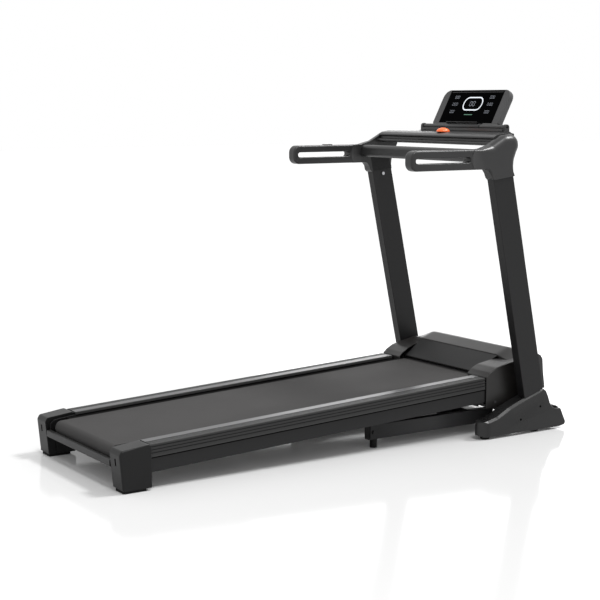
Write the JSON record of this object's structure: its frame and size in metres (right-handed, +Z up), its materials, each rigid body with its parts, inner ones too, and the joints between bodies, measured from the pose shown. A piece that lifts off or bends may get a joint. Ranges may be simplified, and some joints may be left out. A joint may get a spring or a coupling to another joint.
{
  "type": "treadmill",
  "caption": "Folding motorised home treadmill with a cushioned running deck, leaning uprights, slotted handlebar arms and a tilting display.",
  "frame": {"origin": "middle of the footprint, on the floor", "axes": "+X to the user's right, +Y to the motor end that the user faces, +Z up"},
  "size_m": [0.78, 1.847, 1.2711],
  "materials": {
    "frame_steel": "satin powder coat",
    "board": "phenolic-faced fibreboard",
    "rubber": "matte",
    "rail_aluminium": "dark anodised, brushed",
    "plastic_black": "fine moulded grain",
    "grip_plastic": "satin moulded",
    "hood_panel_satin": "satin",
    "running_belt_fabric": "fine woven texture",
    "bright_steel": "zinc plated",
    "motor_paint": "satin paint",
    "circuit": "solder mask",
    "switch_red": "gloss",
    "display_gloss": "piano-black lens",
    "key_orange": "gloss",
    "key_grey": "matte"
  },
  "bodies": {
    "base": {"base_side_left": "frame_steel", "base_side_right": "frame_steel", "base_cross_front": "frame_steel", "base_cross_rear": "frame_steel", "base_leg_left": "frame_steel", "base_leg_right": "frame_steel", "fold_pins": "bright_steel", "base_pads": "rubber", "base_cover_left": "plastic_black", "base_cover_right": "plastic_black", "cover_screws": "frame_steel", "wheel_axles": "bright_steel", "upright_left": "frame_steel", "upright_right": "frame_steel", "cable_cover": "plastic_black", "arm_left": "grip_plastic", "arm_right": "grip_plastic", "shoulder_left": "grip_plastic", "shoulder_right": "grip_plastic", "shoulder_bolts": "bright_steel", "cross_tube": "frame_steel", "console_bar": "plastic_black", "console_tray": "plastic_black"},
    "deck": {"deck_side_left": "frame_steel", "deck_side_right": "frame_steel", "deck_crossmembers": "frame_steel", "motor_plate": "frame_steel", "running_board": "board", "board_cushions": "rubber", "side_rail_left": "rail_aluminium", "side_rail_right": "rail_aluminium", "rear_cap_left": "plastic_black", "rear_cap_right": "plastic_black", "rear_foot_pads": "rubber", "rear_crossbar": "plastic_black", "running_belt": "running_belt_fabric", "rear_axle": "bright_steel", "front_axle": "bright_steel", "roller_adjusters": "bright_steel", "motor": "motor_paint", "drive_belt": "rubber", "motor_controller": "circuit", "motor_hood": "plastic_black", "hood_panel": "hood_panel_satin", "belly_pan": "plastic_black", "hood_screws": "frame_steel", "power_inlet": "plastic_black"},
    "rear_roller_body": {"rear_roller": "bright_steel"},
    "front_roller_body": {"front_roller": "bright_steel"},
    "motor_rotor_body": {"motor_rotor": "bright_steel"},
    "power_switch_body": {"power_switch": "switch_red"},
    "wheel_left_body": {"wheel_left": "rubber"},
    "wheel_right_body": {"wheel_right": "rubber"},
    "strut_cylinder_body": {"strut_cylinder": "motor_paint"},
    "strut_rod_body": {"strut_rod": "bright_steel"},
    "display": {"display_housing": "plastic_black", "display_glass": "display_gloss"},
    "safety_key_body": {"safety_key": "key_orange"},
    "key_plus_body": {"key_plus": "key_grey"},
    "key_minus_body": {"key_minus": "key_grey"}
  },
  "joints": [
    {"name": "deck_fold", "type": "hinge", "parent": "base", "child": "deck", "pos_m": [0, 0.7255, 0.112], "axis": [-1, 0, 0], "range_deg": [0, 70]},
    {"name": "rear_roller_turn", "type": "hinge", "parent": "deck", "child": "rear_roller_body", "pos_m": [0, -0.87531, 0.10878], "axis": [1, 0, 0], "continuous": true},
    {"name": "front_roller_turn", "type": "hinge", "parent": "deck", "child": "front_roller_body", "pos_m": [0, 0.66085, 0.18391], "axis": [1, 0, 0], "continuous": true},
    {"name": "motor_turn", "type": "hinge", "parent": "deck", "child": "motor_rotor_body", "pos_m": [0, 0.7495, 0.186], "axis": [1, 0, 0], "continuous": true},
    {"name": "power_switch_rock", "type": "hinge", "parent": "deck", "child": "power_switch_body", "pos_m": [0.226, 0.8175, 0.154], "axis": [1, 0, 0], "range_deg": [0, 14]},
    {"name": "wheel_left_turn", "type": "hinge", "parent": "base", "child": "wheel_left_body", "pos_m": [-0.364, 0.8715, 0.05], "axis": [1, 0, 0], "continuous": true},
    {"name": "wheel_right_turn", "type": "hinge", "parent": "base", "child": "wheel_right_body", "pos_m": [0.364, 0.8715, 0.05], "axis": [1, 0, 0], "continuous": true},
    {"name": "strut_swing", "type": "hinge", "parent": "deck", "child": "strut_cylinder_body", "pos_m": [0, 0.1455, 0.078], "axis": [-1, 0, 0], "range_deg": [0, 7.19]},
    {"name": "strut_slide", "type": "slide", "parent": "strut_cylinder_body", "child": "strut_rod_body", "axis": [0, 0.9997, -0.0235], "range_m": [0, 0.1232]},
    {"name": "display_tilt", "type": "hinge", "parent": "base", "child": "display", "pos_m": [0, 0.7175, 1.132], "axis": [-1, 0, 0], "range_deg": [-15, 40]},
    {"name": "safety_key_lift", "type": "slide", "parent": "base", "child": "safety_key_body", "axis": [0, 0, 1], "range_m": [0, 0.02]},
    {"name": "key_plus_press", "type": "slide", "parent": "base", "child": "key_plus_body", "axis": [0, 0, -1], "range_m": [0, 0.0015], "stiffness_N_per_m": 400, "springref_m": -0.001},
    {"name": "key_minus_press", "type": "slide", "parent": "base", "child": "key_minus_body", "axis": [0, 0, -1], "range_m": [0, 0.0015], "stiffness_N_per_m": 400, "springref_m": -0.001}
  ],
  "couplings": [
    {"joint": "rear_roller_turn", "follows": "front_roller_turn", "ratio": 1},
    {"joint": "motor_turn", "follows": "front_roller_turn", "ratio": 2.8571},
    {"joint": "strut_swing", "follows": "deck_fold", "ratio": 0.10132},
    {"joint": "strut_slide", "follows": "deck_fold", "m_per_rad": 0.10006}
  ]
}
